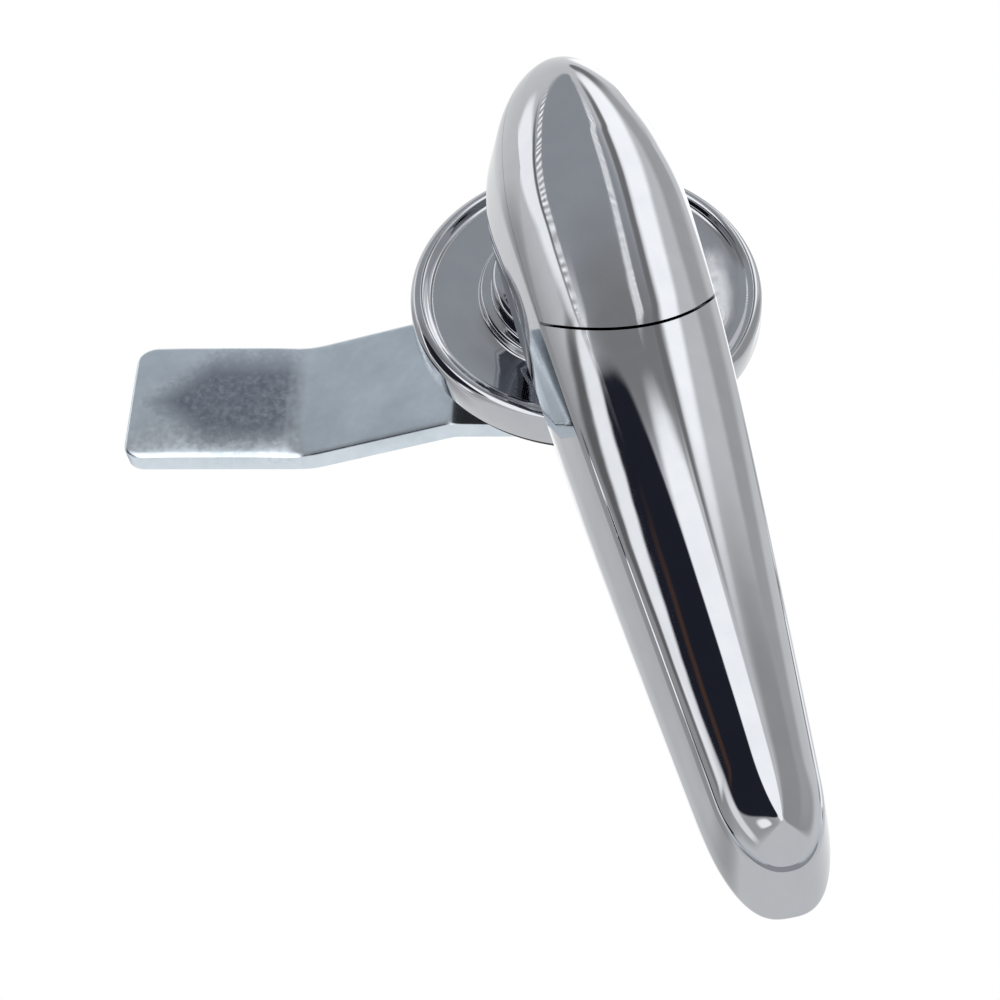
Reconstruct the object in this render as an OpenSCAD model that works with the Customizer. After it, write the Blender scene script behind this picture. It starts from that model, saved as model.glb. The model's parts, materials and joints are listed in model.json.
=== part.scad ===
// Cabinet handle lock: a lever on a round rosette, a key cylinder under a swinging nose cover,
// and a cranked cam behind the panel. Modelled with the panel in XY, the lever along -Y and the
// height above the panel in +Z, then stood up so that the panel is vertical. Millimetres.

/* [Rosette] */
// Diameter of the rosette
rosette_d = 48.2; // [46:0.2:56]
// Thickness of the rosette at its rim
rosette_t = 4.8; // [4.4:0.1:6]
// Radius of the rounded rim bead
rim_r = 2.1; // [1.6:0.1:2.2]
// Depth of the face below the top of the rim
face_sink = 0.7; // [0.4:0.1:1]
// Diameter of the collar round the neck
collar_d = 25.6; // [24:0.2:28]
// Height of the collar above the rosette's rim
collar_h = 3.2; // [3:0.1:4]

/* [Threaded stem and panel] */
// Diameter of the threaded stem
stem_d = 22; // [20:0.5:24]
// Depth of each of the two flats on the stem
stem_flat = 1; // [0.5:0.1:1.5]
// Length of the stem behind the panel's front face
stem_len = 9; // [8.8:0.1:12]
// Panel thickness that the nut is drawn at
panel_t = 2.5; // [2.2:0.1:2.8]
// Thickness of the sealing gasket
gasket_t = 1.5; // [1:0.1:2]
// Width across flats of the panel nut
nut_af = 28; // [27:0.5:32]
// Thickness of the panel nut
nut_t = 4.6; // [4:0.1:5]

/* [Handle] */
// Distance from the spindle axis to the lever's tip
lever_len = 104; // [96:1:120]
// Distance from the spindle axis to the end of the nose
nose_len = 22.4; // [22.4:0.1:26]
// Width of the handle at its head
head_w = 26.8; // [25:0.2:28]
// Loss of width for each millimetre down the lever
lever_taper = 0.188; // [0.15:0.001:0.19]
// Height of the lever's lower edge above the panel
under_h = 20; // [19:0.5:24]
// Height of the drafted flank at the head
flank_h = 9.5; // [9:0.1:11]
// Height of the drafted flank at the tip
tip_flank_h = 6; // [6:0.1:8]
// Draft angle of the flanks
flank_draft = 9.5; // [8:0.5:14]
// Rise of the crown above the flanks at the head
head_rise = 6.5; // [6:0.1:7.5]
// Rise of the crown above the flanks at the tip
tip_rise = 4.5; // [4:0.1:5.5]
// Diameter of the neck under the head
neck_d = 20; // [19.6:0.1:20.2]

/* [Nose cover] */
// Distance from the spindle axis to the cover's pivot
cover_pivot = 13.2; // [13.2:0.1:14]
// Radius of the cover's end at its lower edge
cover_reach = 39.6; // [36:0.2:40]
// Slope of the cover's end face away from the pivot axis
cover_slope = 48; // [40:1:52]
// Gap between the cover's end and the lever
cover_gap = 0.5; // [0.4:0.05:0.8]
// Wall thickness of the cover
cover_wall = 1.8; // [1.5:0.1:2.2]

/* [Spindle and lock] */
// Diameter of the spindle
spindle_d = 9; // [8.6:0.1:9]
// Width across the spindle's square end
spindle_sq = 7; // [6.4:0.1:7]
// Outer diameter of the key cylinder's sleeve
sleeve_d = 16.3; // [16:0.1:16.6]
// Diameter of the key plug
plug_d = 10.4; // [9.6:0.1:10.8]
// Travel of the lock pin
pin_travel = 3; // [2.5:0.1:3]
// Diameter of the lock pin and of the stop pin
pin_d = 2.4; // [2.2:0.1:2.4]
// Turn of the handle from closed to open
turn = 90; // [60:5:90]

/* [Cam] */
// Distance from the spindle axis to the cam's end
cam_len = 66.8; // [50:0.2:80]
// Width of the cam
cam_w = 21.2; // [18:0.2:24]
// Thickness of the cam
cam_t = 3; // [2.5:0.1:3.5]
// Backward crank of the cam's end
cam_crank = 7.4; // [3:0.1:10]
// Angle of the cam above the square to the lever
cam_tilt = 12; // [0:1:20]

/* [Hidden] */
$fn = 64;
// Play left at a running fit, on the radius
run_fit = 0.05;
// Play left at a loose hole, on the radius
loose_fit = 0.15;
rosette_r = rosette_d / 2;
rim_top = gasket_t + rosette_t;
face_h = rim_top - face_sink;
collar_top = rim_top + collar_h;
collar_r = collar_d / 2;
// Rounding of the collar's upper edge
collar_round = 0.9;
// Height and extra radius of the low step at the foot of the collar
step_h = 1.1;
step_w = 1.7;
stem_r = stem_d / 2;
bore_r = spindle_d / 2 + run_fit;
// Circle on which the lock pin and the stop pin stand
pin_circle = 6.8;
pin_r = pin_d / 2;
pin_hole_r = pin_r + loose_fit;
// Depth of the pin holes and of the stop slot in the collar
pin_hole_deep = 3.2;
washer_t = 0.9;
nut_front = -panel_t - washer_t;
nut_back = nut_front - nut_t;
// Gap between the neck and the collar
neck_gap = 0.1;
neck_foot = collar_top + neck_gap;
neck_r = neck_d / 2;
deck = under_h + flank_h;
// Shelf that the cover lies over, just under the crease, and the seam between the two
shelf = deck - 0.15;
seam = 0.2;
lock_floor = under_h - 2.7;
spindle_top = lock_floor - 1;
cross_pin_h = (neck_foot + spindle_top) / 2;
cross_pin_r = 1.5;
wave_t = 0.5;
clip_t = 0.8;
clip_front = -stem_len - wave_t;
clip_back = clip_front - clip_t;
clip_groove_r = spindle_d / 2 - 0.9;
cam_front = clip_back - 0.1;
cam_back = cam_front - cam_t;
square_end = cam_back + 0.2;
square_gap = 0.05;
thread_r = 2;
oring_r = 0.55;
oring_h = 0;
oring_path = bore_r - 0.02 - oring_r;
sleeve_r = sleeve_d / 2;
plug_r = plug_d / 2;
plug_face = deck - 0.3;
// Flange of the sleeve that carries it on the deck
flange_r = sleeve_r + 1;
flange_t = 1.4;
cam_disc_r = sleeve_r - 0.25;
cam_disc_low = lock_floor + 0.2;
pin_rest_foot = neck_foot + 0.3;
pin_rest_top = cam_disc_low + pin_travel - 0.4;
cam_disc_top = pin_rest_top + 1.1;
sleeve_foot = cam_disc_top + 0.3;
// Angle of one step of the face cam and the angle at which its ramp begins
ramp_step = 7.5;
ramp_start = 14;
ramp_count = 12;
// Turn of the key from unlocked to locked
key_turn = 90;
// Sector left clear beside the ramp for the head of the lock pin
ramp_clear = 24;
pin_head_r = pin_r + 0.45;
spring_foot = lock_floor - 4.5;
spring_wire = 0.2;
// Play round the spring, inside and outside
spring_play = 0.1;
spring_coils = 4;
spring_path = pin_r + spring_play + spring_wire;
spring_hole_r = spring_path + spring_wire + spring_play;
wafer_t = 0.8;
wafer_pitch = 1.3;
wafer_count = 4;
key_w = 2.2;
key_h = 7.4;
// Hub and square socket of the face cam, and the screw through it
hub_r = 4.6;
tail_sq = 3;
screw_r = 0.8;
screw_head_r = 1.9;
screw_head_t = 1.1;
// Where the cam's crank begins and ends, and the washers and the screw that hold the cam
bend_in = 19;
bend_out = 40;
cam_corner = 3;
cam_washer_r = 6.5;
cam_washer_t = 1;
spring_washer_r = 3.9;
spring_washer_t = 1;
hex_af = 7;
hex_t = 2.8;
hex_reach = 11;
hex_seat = cam_back - cam_washer_t - spring_washer_t;
// Screw on which the cover swings, and the length of it inside the cover
pivot_thread = 3;
pivot_r = 1.5;
pivot_head_r = 2.7;
pivot_head_h = 2.2;
pivot_seat = under_h + 3.2;
pivot_top = pivot_seat - run_fit;
pivot_boss_r = 2.9;
pivot_washer_t = 0.4;
key_pin_r = 0.8;
key_pin_len = 6;
// Sampling of the lofted handle: stations along a side and rings up the crown
stations = 34;
rings = 8;
crown_power = 2;
spine_u = 0.04;
// Length over which each end is rounded, and how full the rounding is: first the lower edge
tip_round = 15;
tip_power = 2.8;
nose_round = 27;
nose_power = 2.1;
// The same for the crease, which ends further in at the tip than the draft alone would bring it
crease_nose_round = 30;
crease_tip_round = 10;
crease_tip_power = 2.3;
tip_inset = 1.3;
// Ends of the spine along the top of the crown
spine_nose = nose_len - 14;
spine_tip = -lever_len + 7;
// Where the lower, straight part of the taper and the head meet, and how softly
taper_half = lever_taper / 2;
taper_at_axis = head_w / 2 + 2.35;
taper_soft = 1.2;
// Where the flank begins to lower towards the tip
slope_start = -26;
floor_half = head_w / 2;
// Coring pockets under the lever
core_wall = 3.7;
core_deep = 6.2;
core_len = 11;
core_rib = 2.2;
core_first = -24;
core_count = 5;

rosette_base();
panel_gasket();
lock_washer();
panel_nut();
handle_body();
spindle();
spindle_pin();
spindle_oring();
stop_pin();
wave_washer();
retaining_clip();
cam();
cam_washer();
cam_spring_washer();
cam_screw();
barrel_sleeve();
sleeve_key();
key_plug();
wafers();
drive_cam();
drive_screw();
lock_pin();
pin_spring();
nose_cover();
cover_screw();
cover_washer();

// Stands the part up: the panel vertical, the lever hanging down, the front towards -Y
module stand() {
    rotate([90, 0, 0])
        children();
}

// A disc or tube between two heights
module disc(r, low, high) {
    translate([0, 0, low])
        cylinder(r = r, h = high - low);
}

module tube(r_out, r_in, low, high) {
    difference() {
        disc(r_out, low, high);
        disc(r_in, low - 1, high + 1);
    }
}

// Half width of the handle's lower edge before its ends are rounded
function side_half(v) =
    let (line = taper_at_axis + taper_half * v)
    floor_half - taper_soft * ln(1 + exp((floor_half - line) / taper_soft));

function clamp01(s) = max(0, min(1, s));
// Share of the full width left where an end is rounded over a length, by a superellipse
function end_factor(s, power) = pow(max(0, 1 - pow(clamp01(s), power)), 1 / power);
function nose_factor(v, nose, long) = end_factor((v - nose + long) / long, nose_power);
function tip_factor(v, tip, long, power) = end_factor((tip + long - v) / long, power);

// Share of the way from the start of the lever's slope to its tip
function slope_share(v) = clamp01((slope_start - v) / (lever_len + slope_start));
function crease_h(v) = deck - (flank_h - tip_flank_h) * pow(slope_share(v), 1.4);
function crease_inset(v) = (crease_h(v) - under_h) * tan(flank_draft);
function crown_rise(v) = head_rise - (head_rise - tip_rise) * clamp01(-v / lever_len);
function share(k) = (1 - cos(180 * k / stations)) / 2;

// One side's point on the lower edge, at station k, on the right (s = 1) or the left (s = -1)
function low_point(k, s) =
    let (v = nose_len - share(k) * (nose_len + lever_len))
    let (ends = nose_factor(v, nose_len, nose_round) * tip_factor(v, -lever_len, tip_round, tip_power))
    [s * side_half(v) * ends, v, under_h];

// The same on the crease between flank and crown, drawn in by the draft and a wall
function crease_point(k, s, wall) =
    let (nose = nose_len - crease_inset(nose_len) - wall)
    let (tip = -lever_len + crease_inset(-lever_len) + tip_inset + wall)
    let (v = nose - share(k) * (nose - tip))
    let (half = side_half(v) - crease_inset(v) - wall)
    let (nose_end = nose_factor(v, nose, crease_nose_round))
    let (tip_end = tip_factor(v, tip, crease_tip_round, crease_tip_power))
    [s * half * nose_end * tip_end, v, crease_h(v)];

// A point on the crown: u runs from 1 on the crease to 0 on the spine
function crown_point(k, s, wall, u) =
    let (p = crease_point(k, s, wall))
    let (spine = spine_nose - share(k) * (spine_nose - spine_tip))
    let (v = spine + u * (p[1] - spine))
    [u * p[0], v, p[2] + (crown_rise(v) - wall) * (1 - pow(u, crown_power))];

function ring_of(points_right, points_left) =
    concat(points_right, [for (k = [stations - 1:-1:1]) points_left[k]]);

function low_ring() =
    ring_of([for (k = [0:stations]) low_point(k, 1)], [for (k = [0:stations]) low_point(k, -1)]);

function floor_ring(wall, h) =
    [for (p = crown_ring(wall, 1)) [p[0], p[1], h]];

function crown_ring(wall, u) =
    ring_of([for (k = [0:stations]) crown_point(k, 1, wall, u)],
        [for (k = [0:stations]) crown_point(k, -1, wall, u)]);

// Skin over a stack of rings: the first ring closed flat, the last along the spine
module skin(ring_list) {
    n = 2 * stations;
    m = len(ring_list);
    points = [for (r = ring_list) for (p = r) p];
    sides = [for (i = [0:m - 2]) for (j = [0:n - 1]) for (t = [0, 1])
        t == 0 ? [i * n + j, (i + 1) * n + (j + 1) % n, (i + 1) * n + j]
               : [i * n + j, i * n + (j + 1) % n, (i + 1) * n + (j + 1) % n]];
    top = (m - 1) * n;
    roof = [for (k = [1:stations - 2]) [top + k, top + k + 1, top + n - k - 1, top + n - k]];
    ends = [[top, top + 1, top + n - 1], [top + stations - 1, top + stations, top + stations + 1]];
    polyhedron(points = points, faces = concat([[for (j = [0:n - 1]) n - 1 - j]], sides, roof, ends));
}

// The handle's outer form, without its neck
module handle_form() {
    crown = [for (i = [0:rings]) crown_ring(0, 1 - (1 - spine_u) * i / rings)];
    skin(concat([low_ring()], crown));
}

// The hollow inside the nose cover
module cover_hollow() {
    crown = [for (i = [0:rings]) crown_ring(cover_wall, 1 - (1 - spine_u) * i / rings)];
    skin(concat([floor_ring(cover_wall, deck - 1)], crown));
}

// Cone about the cover's pivot, standing on the shelf; everything of the cover is inside it
module cover_cone(extra) {
    tall = 3 * head_rise;
    translate([0, cover_pivot, shelf])
        cylinder(r1 = cover_reach + extra, r2 = cover_reach + extra + tall * tan(cover_slope), h = tall);
}

// Profile of the rosette, its collar and its stem
module base_profile() {
    translate([0, gasket_t])
        square([rosette_r - rim_r, face_h - gasket_t]);
    translate([0, gasket_t])
        square([rosette_r, rosette_t - rim_r]);
    translate([rosette_r - rim_r, rim_top - rim_r])
        circle(r = rim_r);
    translate([0, gasket_t])
        square([collar_r - collar_round, collar_top - gasket_t]);
    translate([0, gasket_t])
        square([collar_r, collar_top - collar_round - gasket_t]);
    translate([collar_r - collar_round, collar_top - collar_round])
        circle(r = collar_round);
    translate([0, gasket_t])
        square([collar_r + step_w - step_h / 2, face_h + step_h - gasket_t]);
    translate([collar_r + step_w - step_h / 2, face_h + step_h / 2])
        circle(r = step_h / 2);
    translate([0, -stem_len])
        square([stem_r, stem_len + rim_top - rim_r]);
}

// Slot in the collar in which the stop pin travels
module stop_slot() {
    slot_r = pin_hole_r;
    translate([0, 0, collar_top - pin_hole_deep])
        rotate([0, 0, 90])
            rotate_extrude(angle = turn)
                translate([pin_circle - slot_r, 0])
                    square([2 * slot_r, pin_hole_deep + 1]);
    for (a = [0, turn])
        rotate([0, 0, 90 + a])
            translate([pin_circle, 0, collar_top - pin_hole_deep])
                cylinder(r = slot_r, h = pin_hole_deep + 1);
}

module rosette_base() {
    color([0.8, 0.81, 0.83])
        stand()
            difference() {
                rotate_extrude()
                    base_profile();
                disc(bore_r, -stem_len - 1, collar_top + 1);
                for (s = [-1, 1])
                    translate([s * (stem_r + 5 - stem_flat), 0, -stem_len / 2 - 1])
                        cube([10, 3 * stem_r, stem_len + 1.8], center = true);
                stop_slot();
                for (a = [0, turn])
                    rotate([0, 0, a - 90])
                        translate([pin_circle, 0, collar_top - pin_hole_deep])
                            cylinder(r = pin_hole_r, h = pin_hole_deep + 1);
            }
}

module panel_gasket() {
    color([0.06, 0.06, 0.06])
        stand()
            tube(rosette_r - 1, stem_r + loose_fit, 0, gasket_t);
}

module lock_washer() {
    teeth = 20;
    color([0.7, 0.72, 0.75])
        stand()
            difference() {
                union() {
                    disc(stem_r + 2.2, nut_front, -panel_t);
                    for (i = [0:teeth - 1])
                        rotate([0, 0, i * 360 / teeth])
                            translate([stem_r + 1.6, -0.8, nut_front])
                                cube([2, 1.6, washer_t]);
                }
                disc(stem_r + loose_fit, nut_front - 1, 0);
            }
}

module panel_nut() {
    corner = nut_af / 2 / cos(30);
    chamfer = 1.2;
    color([0.7, 0.72, 0.75])
        stand()
            difference() {
                intersection() {
                    translate([0, 0, nut_back])
                        cylinder(r = corner, h = nut_t, $fn = 6);
                    translate([0, 0, nut_back])
                        cylinder(r1 = corner - chamfer, r2 = corner - chamfer + 2 * nut_t, h = nut_t);
                }
                disc(stem_r + run_fit, nut_back - 1, 0);
            }
}

// Trapezoid pocket under the lever, between two ribs
module core_pocket(v) {
    a = side_half(v) - core_wall;
    b = side_half(v - core_len) - core_wall;
    translate([0, 0, under_h - 1])
        linear_extrude(height = core_deep + 1)
            polygon([[-a, v], [-b, v - core_len], [b, v - core_len], [a, v]]);
}

module handle_body() {
    color([0.8, 0.81, 0.83])
        stand()
            difference() {
                union() {
                    handle_form();
                    disc(neck_r, neck_foot, under_h + 2);
                }
                cover_cone(cover_gap / cos(cover_slope));
                disc(sleeve_r, lock_floor, deck + 1);
                disc(flange_r, plug_face - flange_t, deck + 1);
                disc(spindle_d / 2, neck_foot - 1, spindle_top);
                translate([0, -pin_circle, neck_foot - 1])
                    cylinder(r = pin_r + run_fit, h = lock_floor - neck_foot + 2);
                translate([0, -pin_circle, spring_foot])
                    cylinder(r = spring_hole_r, h = pin_rest_top + 0.2 - spring_foot);
                translate([0, pin_circle, neck_foot - 1])
                    cylinder(r = pin_r, h = 6);
                translate([-neck_r - 1, 0, cross_pin_h])
                    rotate([0, 90, 0])
                        cylinder(r = cross_pin_r, h = 2 * neck_r + 2);
                translate([sleeve_r, 0, plug_face - flange_t - key_pin_len])
                    cylinder(r = key_pin_r, h = key_pin_len + 1);
                translate([0, cover_pivot, under_h - 1])
                    cylinder(r = pivot_r + run_fit, h = flank_h + 3);
                translate([0, cover_pivot, under_h - 1])
                    cylinder(r = pivot_head_r + 0.3, h = pivot_seat - under_h + 1);
                for (i = [0:core_count - 1])
                    core_pocket(core_first - i * (core_len + core_rib));
            }
}

module spindle() {
    color([0.62, 0.63, 0.65])
        stand()
            difference() {
                union() {
                    disc(spindle_d / 2, cam_front, spindle_top);
                    intersection() {
                        rotate([0, 0, -cam_tilt])
                            translate([-spindle_sq / 2, -spindle_sq / 2, square_end])
                                cube([spindle_sq, spindle_sq, cam_front + 0.05 - square_end]);
                        disc(spindle_d / 2, square_end, cam_front + 0.05);
                    }
                }
                tube(spindle_d, clip_groove_r, clip_back, clip_front);
                tube(spindle_d, oring_path - oring_r, oring_h - oring_r - 0.2, oring_h + oring_r + 0.2);
                disc(thread_r, square_end - 1, square_end + hex_reach);
                translate([-spindle_d, 0, cross_pin_h])
                    rotate([0, 90, 0])
                        cylinder(r = cross_pin_r, h = 2 * spindle_d);
            }
}

module spindle_pin() {
    half = sqrt(neck_r * neck_r - cross_pin_r * cross_pin_r) - 0.1;
    color([0.55, 0.56, 0.58])
        stand()
            translate([-half, 0, cross_pin_h])
                rotate([0, 90, 0])
                    cylinder(r = cross_pin_r, h = 2 * half);
}

module spindle_oring() {
    color([0.05, 0.05, 0.05])
        stand()
            translate([0, 0, oring_h])
                rotate_extrude()
                    translate([oring_path, 0])
                        circle(r = oring_r);
}

module stop_pin() {
    color([0.55, 0.56, 0.58])
        stand()
            translate([0, pin_circle, collar_top - pin_hole_deep + 0.4])
                cylinder(r = pin_r, h = pin_hole_deep + neck_gap + 4.6);
}

module wave_washer() {
    color([0.6, 0.61, 0.63])
        stand()
            tube(spindle_d / 2 + 3, spindle_d / 2 + loose_fit, clip_front, -stem_len - run_fit);
}

module retaining_clip() {
    color([0.35, 0.35, 0.37])
        stand()
            difference() {
                tube(spindle_d / 2 + 2, clip_groove_r, clip_back, clip_front);
                translate([0, -spindle_d, (clip_back + clip_front) / 2])
                    cube([spindle_sq - 1.2, 2 * spindle_d, 2 * clip_t], center = true);
            }
}

// Side view of the bent cam, drawn with the cam along -X
module cam_side() {
    slope = atan(cam_crank / (bend_out - bend_in));
    shift = cam_t * tan(slope / 2);
    front = cam_front;
    back = cam_front - cam_t;
    polygon([[cam_w, front], [-bend_in, front], [-bend_out, front - cam_crank], [-cam_len, front - cam_crank],
        [-cam_len, back - cam_crank], [-bend_out - shift, back - cam_crank], [-bend_in - shift, back],
        [cam_w, back]]);
}

module cam_plan() {
    circle(r = cam_w / 2);
    translate([-cam_len + cam_corner, -cam_w / 2])
        square([cam_len - cam_corner, cam_w]);
    translate([-cam_len, -cam_w / 2 + cam_corner])
        square([cam_len, cam_w - 2 * cam_corner]);
    for (s = [-1, 1])
        translate([-cam_len + cam_corner, s * (cam_w / 2 - cam_corner)])
            circle(r = cam_corner);
}

module cam() {
    tall = cam_t + cam_crank + 4;
    hole = spindle_sq + 2 * square_gap;
    color([0.72, 0.76, 0.82])
        stand()
            rotate([0, 0, -cam_tilt])
                difference() {
                    intersection() {
                        rotate([90, 0, 0])
                            translate([0, 0, -cam_w])
                                linear_extrude(height = 2 * cam_w)
                                    cam_side();
                        translate([0, 0, cam_front + 1 - tall])
                            linear_extrude(height = tall)
                                cam_plan();
                    }
                    translate([-hole / 2, -hole / 2, cam_back - 1])
                        cube([hole, hole, cam_t + 2]);
                }
}

module cam_washer() {
    color([0.72, 0.74, 0.77])
        stand()
            tube(cam_washer_r, thread_r + loose_fit, cam_back - cam_washer_t, cam_back);
}

module cam_spring_washer() {
    color([0.6, 0.61, 0.63])
        stand()
            difference() {
                tube(spring_washer_r, thread_r + loose_fit, hex_seat, cam_back - cam_washer_t);
                translate([-0.4, 0, hex_seat - 1])
                    cube([0.8, spring_washer_r + 1, spring_washer_t + 2]);
            }
}

module cam_screw() {
    corner = hex_af / 2 / cos(30);
    color([0.72, 0.74, 0.77])
        stand()
            translate([0, 0, hex_seat]) {
                cylinder(r = thread_r, h = hex_reach);
                translate([0, 0, -hex_t])
                    intersection() {
                        cylinder(r = corner, h = hex_t, $fn = 6);
                        cylinder(r1 = corner - 0.4, r2 = corner - 0.4 + 2 * hex_t, h = hex_t);
                    }
            }
}

module barrel_sleeve() {
    color([0.74, 0.75, 0.76])
        stand()
            difference() {
                union() {
                    disc(sleeve_r, sleeve_foot, plug_face);
                    disc(flange_r, plug_face - flange_t, plug_face);
                }
                disc(plug_r + run_fit, sleeve_foot - 1, plug_face + 1);
                translate([sleeve_r, 0, plug_face - flange_t - key_pin_len])
                    cylinder(r = key_pin_r, h = key_pin_len);
            }
}

module sleeve_key() {
    color([0.55, 0.56, 0.58])
        stand()
            translate([sleeve_r, 0, plug_face - flange_t - key_pin_len])
                cylinder(r = key_pin_r, h = key_pin_len);
}

// Height of the upper side of each wafer
function wafer_h(i) = plug_face - 1.6 - i * wafer_pitch;

module key_plug() {
    deep = 1.6 + wafer_count * wafer_pitch;
    color([0.78, 0.7, 0.5])
        stand()
            difference() {
                union() {
                    disc(plug_r, cam_disc_top, plug_face);
                    translate([-tail_sq / 2, -tail_sq / 2, cam_disc_top - 1])
                        cube([tail_sq, tail_sq, 2]);
                }
                translate([-key_w / 2, -key_h / 2, plug_face - deep])
                    cube([key_w, key_h, deep + 1]);
                for (i = [0:wafer_count - 1])
                    translate([-wafer_t / 2 - 1.3, -plug_r, wafer_h(i) - wafer_t])
                        cube([2.6 + wafer_t, 2 * plug_r, wafer_t]);
                disc(screw_r, cam_disc_top - 2, cam_disc_top + 1);
            }
}

// Flat wafers that ride in the plug's slots, one solid each
module wafers() {
    half = sqrt(plug_r * plug_r - pow(1.3 + wafer_t / 2, 2)) - 0.1;
    color([0.8, 0.72, 0.45])
        stand()
            for (i = [0:wafer_count - 1])
                difference() {
                    translate([-wafer_t / 2 - 1.3, -half, wafer_h(i) - wafer_t])
                        cube([2.6 + wafer_t, 2 * half, wafer_t]);
                    translate([-key_w / 2, -key_h / 2 + 0.3, wafer_h(i) - wafer_t - 1])
                        cube([key_w, key_h - 0.6, wafer_t + 2]);
                }
}

// Ring sector from angle a, as wide as w, between two heights
module ring_sector(r_in, r_out, a, w, low, high) {
    translate([0, 0, low])
        rotate([0, 0, a])
            rotate_extrude(angle = w)
                translate([r_in, 0])
                    square([r_out - r_in, high - low]);
}

// Face cam on the plug's tail: a stepped helical ramp that presses the lock pin down
module drive_cam() {
    drop = pin_travel / (key_turn / ramp_step);
    ramp_high = pin_rest_top + 0.3;
    r_out = cam_disc_r + 1;
    low = cam_disc_low - 1;
    color([0.66, 0.67, 0.69])
        stand()
            difference() {
                disc(cam_disc_r, cam_disc_low, cam_disc_top);
                for (i = [0:ramp_count - 1])
                    ring_sector(hub_r, r_out, -90 - ramp_clear, ramp_clear + ramp_start + (i + 1) * ramp_step,
                        low, ramp_high - i * drop);
                translate([-tail_sq / 2, -tail_sq / 2, cam_disc_top - 1])
                    cube([tail_sq, tail_sq, 2]);
                disc(screw_r, low, cam_disc_top + 1);
                disc(screw_head_r, low, cam_disc_low + screw_head_t + 0.1);
            }
}

// Screw that holds the face cam on the plug
module drive_screw() {
    seat = cam_disc_low + screw_head_t + 0.1;
    color([0.6, 0.61, 0.63])
        stand() {
            disc(screw_head_r - 0.2, seat - screw_head_t, seat);
            disc(screw_r, seat - screw_head_t / 2, cam_disc_top + 0.9);
        }
}

module lock_pin() {
    color([0.62, 0.63, 0.65])
        stand()
            translate([0, -pin_circle, 0]) {
                disc(pin_r, pin_rest_foot, pin_rest_top);
                disc(pin_head_r, pin_rest_top - 1.2, pin_rest_top - 0.5);
            }
}

// Return spring of the lock pin, drawn coil-bound as it is when the pin is down
module pin_spring() {
    color([0.5, 0.51, 0.53])
        stand()
            translate([0, -pin_circle, spring_foot + spring_wire])
                for (i = [0:spring_coils - 1])
                    translate([0, 0, i * 1.8 * spring_wire])
                        rotate_extrude()
                            translate([spring_path, 0])
                                circle(r = spring_wire);
}

module nose_cover() {
    end_wall = cover_wall / cos(cover_slope);
    color([0.8, 0.81, 0.83])
        stand()
            difference() {
                intersection() {
                    handle_form();
                    cover_cone(0);
                    translate([-head_w, -lever_len, shelf + seam])
                        cube([2 * head_w, 2 * lever_len, 3 * head_rise]);
                }
                difference() {
                    intersection() {
                        cover_hollow();
                        translate([0, 0, -1])
                            cover_cone(-end_wall);
                    }
                    translate([0, cover_pivot, deck - 2])
                        cylinder(r = pivot_boss_r, h = 3 * head_rise);
                }
                translate([0, cover_pivot, deck - 1])
                    cylinder(r = pivot_r, h = pivot_thread + 1);
            }
}

// Shoulder screw from below on which the cover swings
module cover_screw() {
    color([0.62, 0.63, 0.65])
        stand()
            translate([0, cover_pivot, 0])
                difference() {
                    union() {
                        disc(pivot_r, pivot_top - pivot_washer_t - 1, deck + pivot_thread - 0.3);
                        disc(pivot_head_r, pivot_top - pivot_washer_t - pivot_head_h,
                            pivot_top - pivot_washer_t);
                    }
                    translate([-pivot_head_r - 1, -0.4, pivot_top - pivot_washer_t - pivot_head_h - 1])
                        cube([2 * pivot_head_r + 2, 0.8, 1.8]);
                }
}

module cover_washer() {
    color([0.6, 0.61, 0.63])
        stand()
            translate([0, cover_pivot, 0])
                tube(pivot_head_r, pivot_r, pivot_top - pivot_washer_t, pivot_top);
}
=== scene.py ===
import json
import math
import bmesh
import bpy
import numpy as np
from mathutils import Matrix, Vector

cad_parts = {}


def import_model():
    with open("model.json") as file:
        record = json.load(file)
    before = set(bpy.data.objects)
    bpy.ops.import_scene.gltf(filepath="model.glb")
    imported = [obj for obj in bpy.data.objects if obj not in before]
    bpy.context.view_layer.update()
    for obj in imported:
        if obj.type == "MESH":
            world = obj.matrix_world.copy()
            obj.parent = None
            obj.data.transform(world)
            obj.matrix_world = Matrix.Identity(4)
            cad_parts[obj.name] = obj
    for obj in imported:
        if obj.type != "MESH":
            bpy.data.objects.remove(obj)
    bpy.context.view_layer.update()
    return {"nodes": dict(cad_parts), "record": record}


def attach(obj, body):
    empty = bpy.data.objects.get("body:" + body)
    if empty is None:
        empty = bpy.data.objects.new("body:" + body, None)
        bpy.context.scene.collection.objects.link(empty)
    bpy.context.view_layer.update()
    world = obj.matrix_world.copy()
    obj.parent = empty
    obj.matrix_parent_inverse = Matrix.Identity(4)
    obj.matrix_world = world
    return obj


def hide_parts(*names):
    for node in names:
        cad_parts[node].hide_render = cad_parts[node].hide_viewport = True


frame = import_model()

MM = 0.001

# Sizes of the part in millimetres, with heights from the panel's front. The main ones are the solids' own.
# The rim's round and the gap at the cover are finer here, as in the photograph.

# Rosette: its rim, its flat face, the step and the collar round the neck, and where each meets the next
ROSETTE_R, RIM_TOP, RIM_R, RIM_TURN = 24.1, 6.3, 1.3, 125
FACE_H, FACE_OUT, FACE_IN, FACE_RINGS = 5.6, 20.9, 15.1, (18.2, 16.4)
RIM_FOOT, STEP_FOOT, COLLAR_FOOT = 21.45, 14.55, 13.2
STEP_R, STEP_TOP, STEP_ROUND = 14.5, 6.7, 0.55
COLLAR_R, COLLAR_TOP, COLLAR_ROUND = 12.8, 9.5, 0.9
PIN_CIRCLE, PIN_HOLE_R, PIN_HOLE_DEEP = 6.8, 1.35, 3.2
BORE_R, GASKET_T = 4.55, 1.5

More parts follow.
